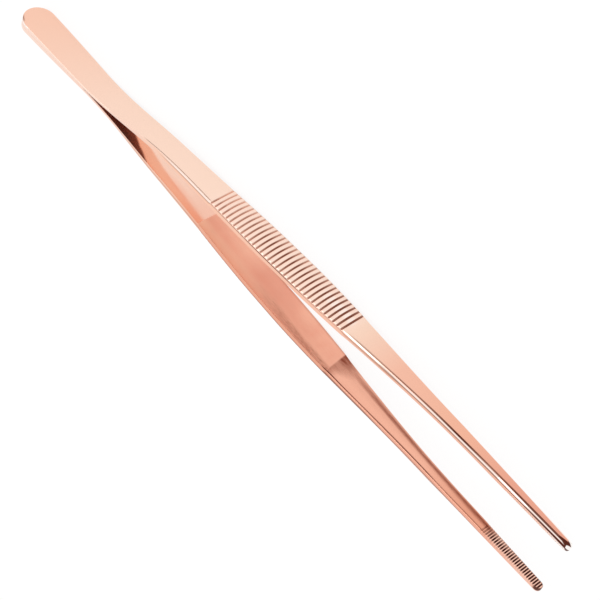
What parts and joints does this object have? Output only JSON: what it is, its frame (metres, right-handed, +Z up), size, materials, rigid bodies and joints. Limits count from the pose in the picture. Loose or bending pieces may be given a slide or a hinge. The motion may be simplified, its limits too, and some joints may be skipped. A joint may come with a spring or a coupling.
{
  "type": "print tongs",
  "caption": "Long spring tongs: mirrored tapering metal blades welded at a rounded heel, with ribbed grips and toothed jaws for lifting wet prints.",
  "frame": {"origin": "on the surface that the tongs lie on, under the middle of their box, half way from the heel to the tips", "axes": "+X from the heel to the tips, +Y from the lower blade to the upper blade, +Z up, across the width of the blades"},
  "size_m": [0.3, 0.0318, 0.0138],
  "materials": {
    "blade_metal": "polished rose-gold plating on stainless spring steel",
    "weld_metal": "ground weld under the same plating"
  },
  "bodies": {
    "heel": {"upper_blade_heel": "blade_metal", "lower_blade_heel": "blade_metal", "heel_weld": "weld_metal"},
    "upper_arm": {"upper_blade_arm": "blade_metal"},
    "lower_arm": {"lower_blade_arm": "blade_metal"}
  },
  "joints": [
    {"name": "upper_flex", "type": "hinge", "parent": "heel", "child": "upper_arm", "pos_m": [-0.098, 0.00106, 0.0069], "axis": [0, 0, -1], "range_deg": [0, 3], "stiffness_Nm_per_rad": 7},
    {"name": "lower_flex", "type": "hinge", "parent": "heel", "child": "lower_arm", "pos_m": [-0.098, -0.00106, 0.0069], "axis": [0, 0, 1], "range_deg": [0, 3], "stiffness_Nm_per_rad": 7}
  ]
}
